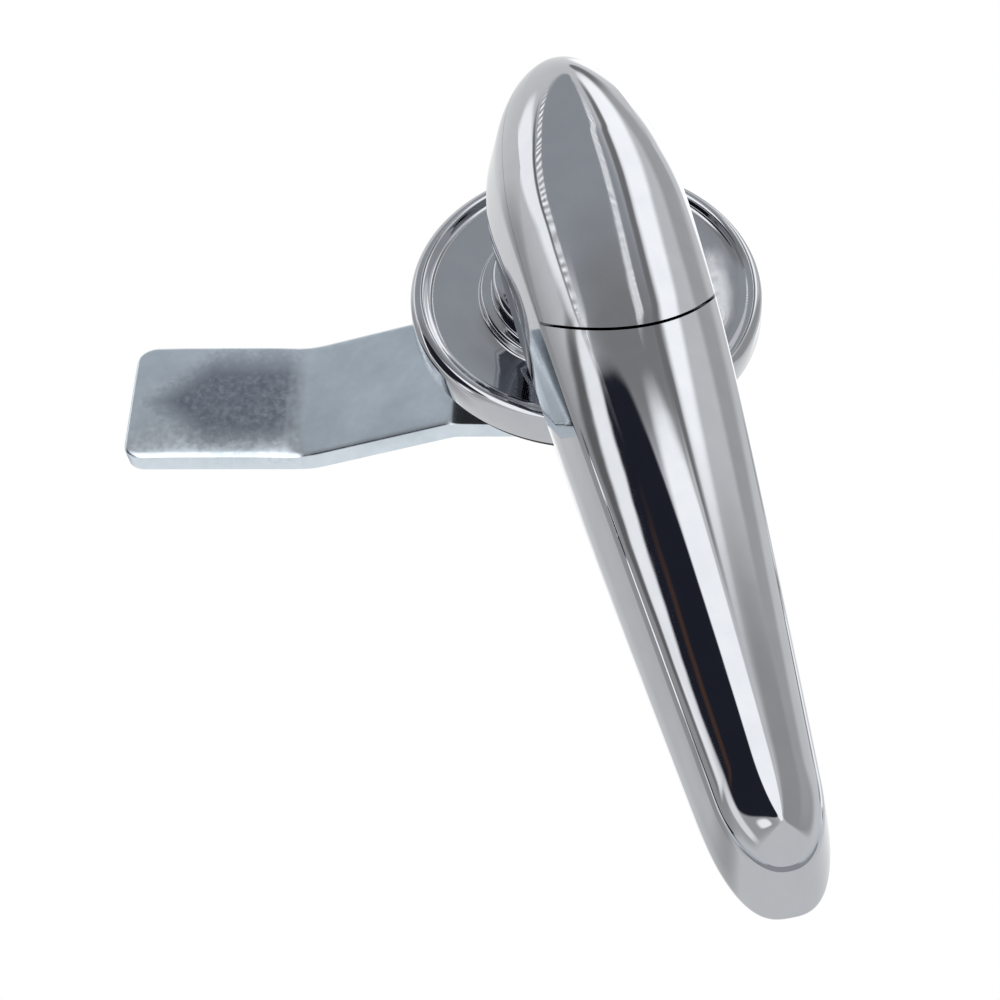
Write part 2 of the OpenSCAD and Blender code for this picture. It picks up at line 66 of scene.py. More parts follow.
# Stem: its flats, its chamfered end, and the thread between its two run-outs
STEM_R, STEM_FLAT, STEM_LEN, STEM_CHAMFER = 11.0, 1.0, 9.0, 0.75
THREAD_PITCH, THREAD_DEEP, THREAD_POWER, THREAD_LOW = 1.5, 0.55, 0.8, -8.4
THREAD_TOP, THREAD_TOP_FADE = -0.4, 1.2
THREAD_END, THREAD_END_FADE = -8.6, 0.6

# Handle: its lever and nose, its flanks, the crown on them, and the neck
LEVER_LEN, NOSE_LEN, HEAD_W, TAPER = 104.0, 22.4, 26.8, 0.188
UNDER_H, FLANK_H, TIP_FLANK_H, DRAFT = 20.0, 9.5, 6.0, math.radians(9.5)
HEAD_RISE, TIP_RISE = 6.5, 4.5
NECK_R, NECK_FOOT, NECK_EDGE, NECK_IN = 10.0, 9.6, 0.3, 2.0
DECK = UNDER_H + FLANK_H
SHELF = DECK - 0.15
# Where the sides turn from the head's width into the taper, and how softly
SHOULDER, SHOULDER_SOFT = 2.35, 1.2
# Where the crease starts to fall towards the tip, and the power of its curve
FALL_START, FALL_POWER = -26, 1.4
# The lengths over which the ends of the lower outline and of the crease round off, and their curves' powers
NOSE_POWER = 2.1
LOW_NOSE, LOW_TIP, LOW_TIP_POWER = 27, 15, 2.8
CREASE_NOSE, CREASE_TIP, CREASE_TIP_POWER = 30, 10, 2.3
# How much further in the crease ends at the tip, and the ends of the spine along the crown
TIP_INSET, SPINE_NOSE, SPINE_TIP = 1.3, NOSE_LEN - 14, -LEVER_LEN + 7
# How far the lower edge and the crease are rounded, and how much softer the crease gets round the nose
LOW_EDGE, CREASE_EDGE, NOSE_EDGE = 0.8, 0.5, 2.6
# The fine step along the crease
STEP_DEEP, STEP_WIDE = 0.17, 0.4
# Pockets under the lever, which keep the casting's wall even
POCKETS, POCKET_START, POCKET_PITCH, POCKET_LONG = 5, -24, 13.2, 11
POCKET_WALL, POCKET_DEEP, POCKET_DRAFT = 3.7, 6.2, 0.4

# Cover: its pivot, the cone that parts it from the lever, the gap there, and its wall. Its seam over the
# shelf shows as a fine line.
PIVOT_V, REACH, SLOPE, GAP, WALL = 13.2, 39.6, math.radians(48), 0.32, 1.8
PIVOT, CONE_TALL, COVER_SEAM = (0, PIVOT_V), 20, 0.08
PIVOT_HOLE_R, PIVOT_HOLE_DEEP, BOSS_R = 1.55, 3.0, 2.9
SCREW_SINK_R, SCREW_SINK_DEEP = 3.0, 3.2

# Lock in the head: the sleeve with its flange, and the plug with its tail, keyway and ward
LOCK_FACE = DECK - 0.3
SLEEVE_R, SLEEVE_BORE, SLEEVE_BACK, SLEEVE_SEAT = 8.15, 5.25, 21.5, 17.3
FLANGE_R, FLANGE_T, FLANGE_SEAT, FLANGE_EDGE, MOUTH = 9.15, 1.4, 1.7, 0.25, 0.35
PLUG_R, PLUG_BACK, PLUG_EDGE, TAIL_R, TAIL_END = 5.2, 21.2, 0.3, 1.5, 20.2
KEYWAY, WARD, KEYWAY_DEEP = ((-1.1, -3.7), (1.1, 3.7)), ((-1.6, -1.2), (-0.6, 0.4)), 6.8

# Cam: a flat bar whose crank runs from BEND to BEND_END along it
CAM_LEN, CAM_W, CAM_T, CAM_CRANK, CAM_TILT = 66.8, 21.2, 3.0, 7.4, math.radians(12)
CAM_FRONT, CAM_CORNER, CAM_EDGE, SQUARE_HALF = -10.4, 3.0, 0.5, 3.55
BEND, BEND_END, BEND_SOFT = -19, -40, 0.45
# How far the stamping draws its face down at the sides, and at the ends of the tip section
ROLL_SIDE, ROLL_TIP_SIDE, ROLL_ENDS, ROLL_POWER = 0.12, 0.12, 0.35, 4
ROLL_MIDDLE, ROLL_HALF, ROLL_FADE = -54, 13, 3

# Fasteners behind the panel
NUT_ACROSS, NUT_BACK, NUT_FRONT, NUT_CHAMFER = 28, -8.0, -3.4, 1.7
NUT_CLEAR, NUT_SINK, NUT_SINK_DEEP = 0.05, 0.75, 0.7
SCREW_ACROSS, SCREW_BACK, SCREW_FRONT, SCREW_CHAMFER = 7, -18.2, -15.4, 0.55
SHANK_R, SHANK_END, SHANK_IN = 1.95, -4.4, 0.1
WASHER_R, WASHER_BORE, WASHER_BACK, WASHER_FRONT = 6.5, 2.15, -14.4, -13.4

# How far a cutter reaches past what it cuts
PAST = 1.0


def world(x, v, h):
    """A point of the drawing, panel in x and v and height h above it, in the model's frame in metres."""
    return (x * MM, -h * MM, v * MM)


# Camera, fitted to the outline of the object in the photograph

# Its angles in degrees, its distance in metres, the scale there, and the pixel where the handle's axis shows
CAMERA_AZIMUTH, CAMERA_ELEVATION, CAMERA_ROLL = 6, -36.6, 13.25
CAMERA_DISTANCE, PIXELS_PER_MM = 0.310, 7.272
AXIS_POINT, AXIS_PIXEL = Vector((0, -0.004, 0)), (586, 298.7)
IMAGE_SIZE, SENSOR = 1000, 36


def make_camera():
    azimuth, elevation, roll = (math.radians(a) for a in (CAMERA_AZIMUTH, CAMERA_ELEVATION, CAMERA_ROLL))
    ca, sa, ce, se = math.cos(azimuth), math.sin(azimuth), math.cos(elevation), math.sin(elevation)
    back = Vector((-sa * ce, -ca * ce, se))
    side = Vector((ca, -sa, 0))
    top = Vector((sa * se, ca * se, ce))
    right = side * math.cos(roll) - top * math.sin(roll)
    up = side * math.sin(roll) + top * math.cos(roll)
    focal = PIXELS_PER_MM * CAMERA_DISTANCE / MM
    across, down = ((pixel - IMAGE_SIZE / 2) / focal * CAMERA_DISTANCE for pixel in AXIS_PIXEL)
    place = AXIS_POINT - right * across + up * down + back * CAMERA_DISTANCE
    data = bpy.data.cameras.new("photo_camera")
    data.sensor_width = SENSOR
    data.lens = focal / IMAGE_SIZE * SENSOR
    data.clip_start, data.clip_end = 0.01, 20
    camera = bpy.data.objects.new("photo_camera", data)
    camera.matrix_world = Matrix((
        (right.x, up.x, back.x, place.x), (right.y, up.y, back.y, place.y),
        (right.z, up.z, back.z, place.z), (0, 0, 0, 1)))
    bpy.context.collection.objects.link(camera)
    bpy.context.scene.camera = camera


# Node helpers

class Nodes:
    """A material's or world's node tree with short ways to add to it."""

    def __init__(self, tree, clear=True):
        self.tree = tree
        if clear:
            tree.nodes.clear()

    def add(self, kind, **settings):
        node = self.tree.nodes.new("ShaderNode" + kind)
        for name, value in settings.items():
            setattr(node, name, value)
        return node

    def link(self, out, into):
        self.tree.links.new(out, into)

    def math(self, operation, a, b=None, clamp=False):
        node = self.add("Math", operation=operation, use_clamp=clamp)
        for socket, value in zip(node.inputs, (a, b)):
            if value is None:
                continue
            if isinstance(value, (int, float)):
                socket.default_value = value
            else:
                self.link(value, socket)
        return node.outputs[0]

    def mix(self, factor, a, b):
        node = self.add("Mix", data_type="RGBA")
        for socket, value in ((node.inputs[0], factor), (node.inputs[6], a), (node.inputs[7], b)):
            if isinstance(value, tuple):
                socket.default_value = value if len(value) == 4 else value + (1,)
            elif isinstance(value, (int, float)):
                socket.default_value = value
            else:
                self.link(value, socket)
        return node.outputs[2]

    def ramp(self, value, stops, smooth=False):
        node = self.add("ValToRGB")
        node.color_ramp.interpolation = "EASE" if smooth else "LINEAR"
        elements = node.color_ramp.elements
        while len(elements) < len(stops):
            elements.new(0.5)
        for element, (place, colour) in zip(elements, stops):
            element.position = place
            element.color = (colour,) * 3 + (1,) if isinstance(colour, (int, float)) else colour + (1,)
        self.link(value, node.inputs[0])
        return node.outputs[0]

    def noise(self, vector, scale, detail=2.0, rough=0.5):
        node = self.add("TexNoise")
        node.inputs["Scale"].default_value = scale
        node.inputs["Detail"].default_value = detail
        node.inputs["Roughness"].default_value = rough
        self.link(vector, node.inputs["Vector"])
        return node.outputs[0]

    def place(self):
        return self.add("TexCoord").outputs["Object"]

    def stretched(self, scale):
        node = self.add("Mapping")
        node.inputs["Scale"].default_value = scale
        self.link(self.place(), node.inputs["Vector"])
        return node.outputs[0]

    def bump(self, height, strength, distance):
        node = self.add("Bump")
        node.inputs["Strength"].default_value = strength
        node.inputs["Distance"].default_value = distance
        self.link(height, node.inputs["Height"])
        return node.outputs[0]


# Materials

def material(name):
    mat = bpy.data.materials.new(name)
    mat.use_nodes = True
    nodes = Nodes(mat.node_tree)
    shader = nodes.add("BsdfPrincipled")
    nodes.link(shader.outputs[0], nodes.add("OutputMaterial").inputs[0])
    return mat, nodes, shader


def chrome():
    """Bright chrome plate: faint waviness of the casting under it, fine polishing haze."""
    mat, nodes, shader = material("chrome_plate")
    shader.inputs["Metallic"].default_value = 1
    haze = nodes.noise(nodes.place(), scale=220, detail=4, rough=0.6)
    tint = nodes.ramp(haze, [(0.3, (0.468, 0.482, 0.51)), (0.7, (0.50, 0.514, 0.54))])
    nodes.link(tint, shader.inputs["Base Color"])
    fine = nodes.noise(nodes.stretched((900, 900, 260)), scale=1, detail=3, rough=0.6)
    rough = nodes.ramp(fine, [(0.35, 0.025), (0.75, 0.06)])
    nodes.link(rough, shader.inputs["Roughness"])
    wave = nodes.noise(nodes.place(), scale=90, detail=1.5, rough=0.4)
    nodes.link(nodes.bump(wave, strength=0.25, distance=0.00012), shader.inputs["Normal"])
    return mat


def zinc(name, dark, light, grain, rough_low, rough_high):
    """Plated or turned metal: cloudy spangle between two colours, and fine lines along the grain."""
    mat, nodes, shader = material(name)
    shader.inputs["Metallic"].default_value = 1
    cloud = nodes.noise(nodes.place(), scale=130, detail=5, rough=0.62)
    tint = nodes.ramp(cloud, [(0.32, dark), (0.68, light)])
    nodes.link(tint, shader.inputs["Base Color"])
    lines = nodes.noise(nodes.stretched(grain), scale=1, detail=4, rough=0.6)
    rough = nodes.ramp(lines, [(0.3, rough_low), (0.7, rough_high)])
    nodes.link(rough, shader.inputs["Roughness"])
    nodes.link(nodes.bump(lines, strength=0.15, distance=0.00002), shader.inputs["Normal"])
    return mat


# A dark reflection painted as a cloud into the zinc's colour on the cam's tip section, in millimetres: where
# it starts and ends along the cam and how softly, half its width, its soft edge and how ragged that is, and
# then its strength and colour
PAINTED_REFLECTION_START, PAINTED_REFLECTION_START_SOFT = -41.0, 3.0
PAINTED_REFLECTION_END, PAINTED_REFLECTION_END_SOFT = -66.0, 11.0
PAINTED_REFLECTION_HALF, PAINTED_REFLECTION_EDGE, PAINTED_REFLECTION_RAGGED = 10.6, 5.5, 7.0
PAINTED_REFLECTION_STRENGTH, PAINTED_REFLECTION_COLOUR = 0.86, (0.22, 0.25, 0.305)


def cam_plate():
    """The cam's bluish zinc, with a dark reflection painted as a cloud on the front of its tip section."""
    mat = zinc("zinc_plate_blue", (0.60, 0.67, 0.73), (0.73, 0.80, 0.86), (900, 900, 900), 0.13, 0.24)
    nodes = Nodes(mat.node_tree, clear=False)
    shader = nodes.tree.nodes["Principled BSDF"]
    clear = shader.inputs["Base Color"].links[0].from_socket
    split = nodes.add("SeparateXYZ")
    nodes.link(nodes.place(), split.inputs[0])
    x, y, z = split.outputs
    c, s = math.cos(CAM_TILT) / MM, math.sin(CAM_TILT) / MM
    along = nodes.math("SUBTRACT", nodes.math("MULTIPLY", x, c), nodes.math("MULTIPLY", z, s))
    across = nodes.math("ADD", nodes.math("MULTIPLY", x, s), nodes.math("MULTIPLY", z, c))
    speck = nodes.math("SUBTRACT", nodes.noise(nodes.place(), scale=1100, detail=4, rough=0.7), 0.5)
    end = nodes.math("DIVIDE", nodes.math("SUBTRACT", along, PAINTED_REFLECTION_END), PAINTED_REFLECTION_END_SOFT, clamp=True)
    depth = nodes.math("SUBTRACT", nodes.math("MULTIPLY", end, PAINTED_REFLECTION_HALF), nodes.math("ABSOLUTE", across))
    ragged = nodes.math("ADD", depth, nodes.math("MULTIPLY", speck, PAINTED_REFLECTION_RAGGED))
    inside = nodes.math("DIVIDE", ragged, PAINTED_REFLECTION_EDGE, clamp=True)
    start = nodes.math("DIVIDE", nodes.math("SUBTRACT", PAINTED_REFLECTION_START, along), PAINTED_REFLECTION_START_SOFT, clamp=True)
    front = nodes.math("LESS_THAN", y, (CAM_T / 2 + CAM_CRANK - CAM_FRONT) * MM)
    strength = nodes.math("MULTIPLY", front, nodes.math("SUBTRACT", PAINTED_REFLECTION_STRENGTH, speck))
    # The cloud is a painted reflection: it darkens the zinc's colour on the front of the tip section
    cloud = nodes.math("MULTIPLY", nodes.math("MULTIPLY", inside, start), strength)
    nodes.link(nodes.mix(cloud, clear, PAINTED_REFLECTION_COLOUR), shader.inputs["Base Color"])
    return mat


def rubber():
    """Moulded black rubber with a fine matt grain and a little bloom."""
    mat, nodes, shader = material("black_rubber")
    bloom = nodes.noise(nodes.place(), scale=240, detail=4, rough=0.6)
    tint = nodes.ramp(bloom, [(0.3, (0.02, 0.02, 0.021)), (0.75, (0.05, 0.05, 0.052))])
    nodes.link(tint, shader.inputs["Base Color"])
    nodes.link(nodes.ramp(bloom, [(0.3, 0.55), (0.7, 0.75)]), shader.inputs["Roughness"])
    grain = nodes.noise(nodes.place(), scale=2600, detail=2, rough=0.5)
    nodes.link(nodes.bump(grain, strength=0.35, distance=0.00005), shader.inputs["Normal"])
    return mat


MATERIALS = {
    "chrome": chrome(),
    "cam_zinc": cam_plate(),
    "zinc_steel": zinc("zinc_plate", (0.52, 0.54, 0.57), (0.70, 0.72, 0.75), (500, 200, 500), 0.24, 0.40),
    "bright_steel": zinc("bright_steel", (0.48, 0.485, 0.50), (0.62, 0.625, 0.64), (300, 1600, 300),
                         0.18, 0.34),
    "spring_steel": zinc("spring_steel", (0.16, 0.165, 0.18), (0.28, 0.285, 0.30), (500, 500, 500),
                         0.30, 0.48),
    "nickel": zinc("nickel_plate", (0.60, 0.59, 0.56), (0.72, 0.71, 0.68), (900, 160, 900), 0.14, 0.26),
    "brass": zinc("turned_brass", (0.60, 0.46, 0.20), (0.80, 0.65, 0.34), (900, 160, 900), 0.16, 0.30),
    "gasket_rubber": rubber(),
}
MATERIALS["oring_rubber"] = MATERIALS["gasket_rubber"]


# Mesh helpers

# Faces over eight corners: four round the lower end, then four round the upper one
BOX_FACES = [(0, 3, 2, 1), (4, 5, 6, 7), (0, 1, 5, 4), (1, 2, 6, 5), (2, 3, 7, 6), (3, 0, 4, 7)]


def make_object(name, points, faces):
    mesh = bpy.data.meshes.new(name)
    mesh.from_pydata([world(*p) for p in points], [], faces)
    mesh.validate()
    made = bmesh.new()
    made.from_mesh(mesh)
    bmesh.ops.remove_doubles(made, verts=made.verts, dist=1e-7)
    bmesh.ops.recalc_face_normals(made, faces=made.faces)
    made.to_mesh(mesh)
    made.free()
    obj = bpy.data.objects.new(name, mesh)
    bpy.context.collection.objects.link(obj)
    return obj


def grid_faces(rows, columns):
    """Quads over a stack of closed rings with the same number of points."""
    return [(i * columns + j, i * columns + (j + 1) % columns,
             (i + 1) * columns + (j + 1) % columns, (i + 1) * columns + j)
            for i in range(rows - 1) for j in range(columns)]


def combine(obj, tool, operation):
    """Joins or cuts obj with tool, and takes the tool away."""
    change = obj.modifiers.new("change", "BOOLEAN")
    change.operation, change.object, change.solver = operation, tool, "EXACT"
    shape = obj.evaluated_get(bpy.context.evaluated_depsgraph_get())
    mesh = bpy.data.meshes.new_from_object(shape)
    obj.modifiers.clear()
    old, obj.data = obj.data, mesh
    bpy.data.meshes.remove(old)
    bpy.data.objects.remove(tool, do_unlink=True)


def join(obj, other):
    """Adds another object's mesh to obj, and takes that object away."""
    made = bmesh.new()
    made.from_mesh(obj.data)
    made.from_mesh(other.data)
    made.to_mesh(obj.data)
    made.free()
    bpy.data.objects.remove(other, do_unlink=True)


def finish_piece(obj, node, slot, body, angle=30):
    """Gives a piece its finish, with edges above angle sharp, and puts it in the place of its solid."""
    obj.data.shade_smooth()
    obj.data.set_sharp_from_angle(angle=math.radians(angle))
    obj.data.materials.clear()
    obj.data.materials.append(MATERIALS[slot])
    for polygon in obj.data.polygons:
        polygon.material_index = 0
    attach(obj, body)
    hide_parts(node)


def arc(centre, radius, start, end, count):
    """Points on an arc in the plane of radius and height, angles in degrees from outward."""
    turn = [math.radians(a) for a in np.linspace(start, end, count)]
    return [(centre[0] + radius * math.cos(a), centre[1] + radius * math.sin(a)) for a in turn]


def bend(a, corner, b, count):
    """Points on a soft corner from a to b."""
    return [(1 - t) ** 2 * a + 2 * t * (1 - t) * corner + t * t * b for t in np.linspace(0, 1, count)]


def fillet(a, corner, b, count):
    """A soft corner between points of a profile."""
    return [tuple(point) for point in bend(np.array(a), np.array(corner), np.array(b), count)]


def lathe(name, profile, sides=192, centre=(0, 0)):
    """A closed profile of (radius, height) turned about the height axis."""
    turn = [2 * math.pi * j / sides for j in range(sides)]
    points = [(centre[0] + r * math.cos(a), centre[1] + r * math.sin(a), h) for r, h in profile for a in turn]
    count = len(profile)
    faces = grid_faces(count, sides)
    if all(r > 1e-6 for r, h in profile):
        top = (count - 1) * sides
        faces += [(top + j, top + (j + 1) % sides, (j + 1) % sides, j) for j in range(sides)]
    return make_object(name, points, faces)


def rod(name, radius, low, high, centre=(0, 0), sides=96):
    return lathe(name, [(0, low), (radius, low), (radius, high), (0, high)], sides, centre)


def prism(name, low_ring, low, high_ring, high):
    """A block with four corners at each end."""
    points = [(x, v, low) for x, v in low_ring] + [(x, v, high) for x, v in high_ring]
    return make_object(name, points, BOX_FACES)


# The handle's form: the same curves as in the solids, sampled finely, with its edges rounded

# A share runs from 0 at the nose to 1 at the tip. The crease's rounding grows over the first pair towards the
# nose, and its fine step over the other pairs towards the tip, each a start and a length.
NOSE_EDGE_GROWS = (0.42, 0.26)
STEP_GROWS = ((0.5, 0.4), (0.94, 0.04))
# How far the closed underside is drawn in at the sides and at the ends, to round the lower edge
UNDER_IN, UNDER_PULL, UNDER_POWER = 0.93, 0.9, 6
# On the crown, shares run from 1 at the crease to 0 at the spine: about its half width in millimetres, where
# the close rows near the crease end, and the last row
CROWN_HALF, CROWN_FINE, CROWN_LAST = 14, 0.78, 0.04


def clamp01(s):
    return max(0.0, min(1.0, s))


def end_factor(s, power):
    """Falls from 1 to 0 along a rounded end, as s goes from 0 to 1."""
    return max(0.0, 1 - clamp01(s) ** power) ** (1 / power)


def nose_factor(v, nose, long):
    return end_factor((v - nose + long) / long, NOSE_POWER)


def tip_factor(v, tip, long, power):
    return end_factor((tip + long - v) / long, power)


def side_half(v):
    """Half the width underneath, before its ends round off."""
    half = HEAD_W / 2
    line = half + SHOULDER + TAPER / 2 * v
    return half - SHOULDER_SOFT * math.log(1 + math.exp((half - line) / SHOULDER_SOFT))


def crease_h(v):
    """Height of the crease between flank and crown."""
    down = clamp01((FALL_START - v) / (LEVER_LEN + FALL_START))
    return DECK - (FLANK_H - TIP_FLANK_H) * down ** FALL_POWER


def crease_inset(v):
    return (crease_h(v) - UNDER_H) * math.tan(DRAFT)


def crown_rise(v):
    return HEAD_RISE - (HEAD_RISE - TIP_RISE) * clamp01(-v / LEVER_LEN)


def low_point(share, s):
    """A point on the lower outline, on side s."""
    v = NOSE_LEN - share * (NOSE_LEN + LEVER_LEN)
    ends = nose_factor(v, NOSE_LEN, LOW_NOSE) * tip_factor(v, -LEVER_LEN, LOW_TIP, LOW_TIP_POWER)
    return np.array((s * side_half(v) * ends, v, UNDER_H))


def crease_point(share, s, wall=0.0):
    """A point on the crease, or on the same line a wall's thickness further in."""
    nose = NOSE_LEN - crease_inset(NOSE_LEN) - wall
    tip = -LEVER_LEN + crease_inset(-LEVER_LEN) + TIP_INSET + wall
    v = nose - share * (nose - tip)
    half = side_half(v) - crease_inset(v) - wall
    ends = nose_factor(v, nose, CREASE_NOSE) * tip_factor(v, tip, CREASE_TIP, CREASE_TIP_POWER)
    return np.array((s * half * ends, v, crease_h(v)))


def crown_point(share, s, u, wall=0.0):
    """A point on the crown, u of the way from the spine to the crease."""
    p = crease_point(share, s, wall)
    spine = SPINE_NOSE - share * (SPINE_NOSE - SPINE_TIP)
    v = spine + u * (p[1] - spine)
    return np.array((u * p[0], v, p[2] + (crown_rise(v) - wall) * (1 - u * u)))


def toward(start, goal, length):
    """A point that far from start towards goal, and always short of half way."""
    way = goal - start
    return start + way * min(0.45, length / max(1e-6, float(np.linalg.norm(way))))


def close_form(name, columns):
    """A closed mesh over columns of points that run from the lower ring up to the spine."""
    around, rows = len(columns), len(columns[0])
    points = [tuple(columns[j][i]) for i in range(rows) for j in range(around)]
    faces = grid_faces(rows, around)
    faces.append(tuple(range(around))[::-1])
    top, half = (rows - 1) * around, around // 2
    faces += [(top + k, top + k + 1, top + around - k - 1, top + around - k) for k in range(1, half - 1)]
    faces += [(top, top + 1, top + around - 1), (top + half - 1, top + half, top + half + 1)]
    return make_object(name, points, faces)


def round_the_form(around):
    """Pairs of share and side, once round the form from the nose, closest together at its ends."""
    for j in range(around):
        angle = 2 * math.pi * j / around
        yield (1 - math.cos(angle)) / 2, 1 if angle < math.pi else -1


def crease_edge(share):
    """How far the crease is rounded: little along the lever, more and more round the nose."""
    start, long = NOSE_EDGE_GROWS
    return CREASE_EDGE + NOSE_EDGE * clamp01((start - share) / long) ** 2


def crease_step(share):
    """Depth of the fine step: it grows from half way along, and once more at the tip."""
    return STEP_DEEP * sum(clamp01((share - start) / long) for start, long in STEP_GROWS)


def step_down(points, crease, deep):
    """Lowers the crown just inside the crease, which leaves a fine step along it."""
    lowered = []
    last = len(points) - 1
    for k, point in enumerate(points):
        far = float(np.linalg.norm(point - crease)) / STEP_WIDE
        along = points[min(k + 1, last)] - points[max(k - 1, 0)]
        along = along / np.linalg.norm(along)
        normal = np.array((0.0, 0.0, 1.0)) - along * along[2]
        lowered.append(point - normal / np.linalg.norm(normal) * deep * far * math.exp(1 - far))
    return lowered


def handle_form(name, around=360):
    """The handle's outer form without its neck, closed underneath."""
    columns = []
    for share, s in round_the_form(around):
        low, crease = low_point(share, s), crease_point(share, s)
        pull = (UNDER_PULL if share > 0.5 else -UNDER_PULL) * abs(2 * share - 1) ** UNDER_POWER
        inner = np.array((low[0] * UNDER_IN, low[1] + pull, UNDER_H))
        edge = crease_edge(share)
        flank_low, flank_high = toward(low, crease, LOW_EDGE), toward(crease, low, edge)
        crown_start = 1 - edge / CROWN_HALF
        column = bend(inner, low, flank_low, 5)
        column += [flank_low + (flank_high - flank_low) * t for t in (0.33, 0.67)]
        column += bend(flank_high, crease, crown_point(share, s, crown_start), 13)
        close_rows = np.linspace(crown_start, CROWN_FINE, 26)[1:]
        wide_rows = np.linspace(CROWN_FINE, CROWN_LAST, 28)[1:]
        crown = [crown_point(share, s, u) for u in np.concatenate((close_rows, wide_rows))]
        column += step_down(crown, crease, crease_step(share))
        columns.append(column)
    return close_form(name, columns)


def cover_cone(name, extra, low=SHELF):
    """The cone about the cover's pivot that parts it from the lever, larger by extra."""
    reach = REACH + extra - (SHELF - low) * math.tan(SLOPE)
    wide, top = REACH + extra + CONE_TALL * math.tan(SLOPE), SHELF + CONE_TALL
    return lathe(name, [(0, low), (reach, low), (wide, top), (0, top)], 384, PIVOT)


def pocket(start):
    """A drafted cutter for one pocket under the lever, from start towards the tip."""
    end = start - POCKET_LONG
    a, b = side_half(start) - POCKET_WALL, side_half(end) - POCKET_WALL
    low_ring = ((-a, start), (-b, end), (b, end), (a, start))
    a, b = a - POCKET_DRAFT, b - POCKET_DRAFT
    start, end = start - POCKET_DRAFT, end + POCKET_DRAFT
    high_ring = ((-a, start), (-b, end), (b, end), (a, start))
    return prism("cutter", low_ring, UNDER_H - PAST, high_ring, UNDER_H + POCKET_DEEP)


def make_handle():
    form = handle_form("handle_body_shell")
    neck_top = UNDER_H + NECK_IN
    neck = [(0, NECK_FOOT), (NECK_R - NECK_EDGE, NECK_FOOT), (NECK_R, NECK_FOOT + NECK_EDGE),
            (NECK_R, neck_top), (0, neck_top)]
    combine(form, lathe("neck", neck), "UNION")
    combine(form, cover_cone("cutter", GAP / math.cos(SLOPE)), "DIFFERENCE")
    combine(form, rod("cutter", SLEEVE_R, SLEEVE_SEAT, DECK + PAST), "DIFFERENCE")
    combine(form, rod("cutter", FLANGE_R, DECK - FLANGE_SEAT, DECK + PAST), "DIFFERENCE")
    under, sink_top = UNDER_H - PAST, UNDER_H + SCREW_SINK_DEEP
    combine(form, rod("cutter", PIVOT_HOLE_R, under, DECK + PAST, PIVOT), "DIFFERENCE")
    combine(form, rod("cutter", SCREW_SINK_R, under, sink_top, PIVOT), "DIFFERENCE")
    for i in range(POCKETS):
        combine(form, pocket(POCKET_START - i * POCKET_PITCH), "DIFFERENCE")
    finish_piece(form, "handle_body", "chrome", "handle")


def hollow_form(name, around=120):
    """The space inside the nose cover, a wall's thickness in from the handle's form."""
    columns = []
    for share, s in round_the_form(around):
        edge = crease_point(share, s, WALL)
        column = [np.array((edge[0], edge[1], DECK - PAST))]
        column += [crown_point(share, s, u, WALL) for u in np.linspace(1, CROWN_LAST, 14)]
        columns.append(column)
    return close_form(name, columns)


def make_cover():
    cover = handle_form("nose_cover_shell")
    combine(cover, cover_cone("cutter", 0.0, SHELF + COVER_SEAM), "INTERSECT")
    hollow = hollow_form("hollow")
    combine(hollow, cover_cone("cutter", -WALL / math.cos(SLOPE), SHELF - PAST), "INTERSECT")
    combine(hollow, rod("boss", BOSS_R, DECK - 2 * PAST, DECK + CONE_TALL, PIVOT), "DIFFERENCE")
    combine(cover, hollow, "DIFFERENCE")
    combine(cover, rod("cutter", PIVOT_HOLE_R, DECK - PAST, DECK + PIVOT_HOLE_DEEP, PIVOT), "DIFFERENCE")
    finish_piece(cover, "nose_cover", "chrome", "cover")


# The rosette with its collar and threaded stem

def threaded_stem(name, sides=160):
    """Outside of the stem: a helical thread with two flats, closed to the bore at its end."""
    end_r = STEM_R - STEM_CHAMFER
    rings = [(BORE_R, -STEM_LEN), (end_r - 0.1, -STEM_LEN), (end_r, -STEM_LEN + 0.01)]
    spots = [(radius, j, h) for radius, h in rings for j in range(sides)]
    for h in np.arange(THREAD_LOW, GASKET_T + 0.11, 0.1):
        fade = clamp01((THREAD_TOP - h) / THREAD_TOP_FADE) * clamp01((h - THREAD_END) / THREAD_END_FADE)
        for j in range(sides):
            phase = (h / THREAD_PITCH - j / sides) % 1.0
            spots.append((STEM_R - THREAD_DEEP * fade * abs(2 * phase - 1) ** THREAD_POWER, j, h))
    points = []
    for radius, j, h in spots:
        angle = 2 * math.pi * j / sides
        limit = STEM_R - STEM_FLAT if h < -0.1 else STEM_R
        x = max(-limit, min(limit, radius * math.cos(angle)))
        points.append((x, radius * math.sin(angle), h))
    return make_object(name, points, grid_faces(len(points) // sides, sides))


def stop_slot(name, low, high):
    """The quarter ring in the collar in which the stop pin travels."""
    inner, outer = PIN_CIRCLE - PIN_HOLE_R, PIN_CIRCLE + PIN_HOLE_R
    turn = np.linspace(math.pi / 2, math.pi, 33)
    points = [(r * math.cos(a), r * math.sin(a), h) for a in turn
              for r, h in ((inner, low), (outer, low), (outer, high), (inner, high))]
    last = 4 * (len(turn) - 1)
    faces = grid_faces(len(turn), 4) + [(0, 1, 2, 3), (last + 3, last + 2, last + 1, last)]
    return make_object(name, points, faces)


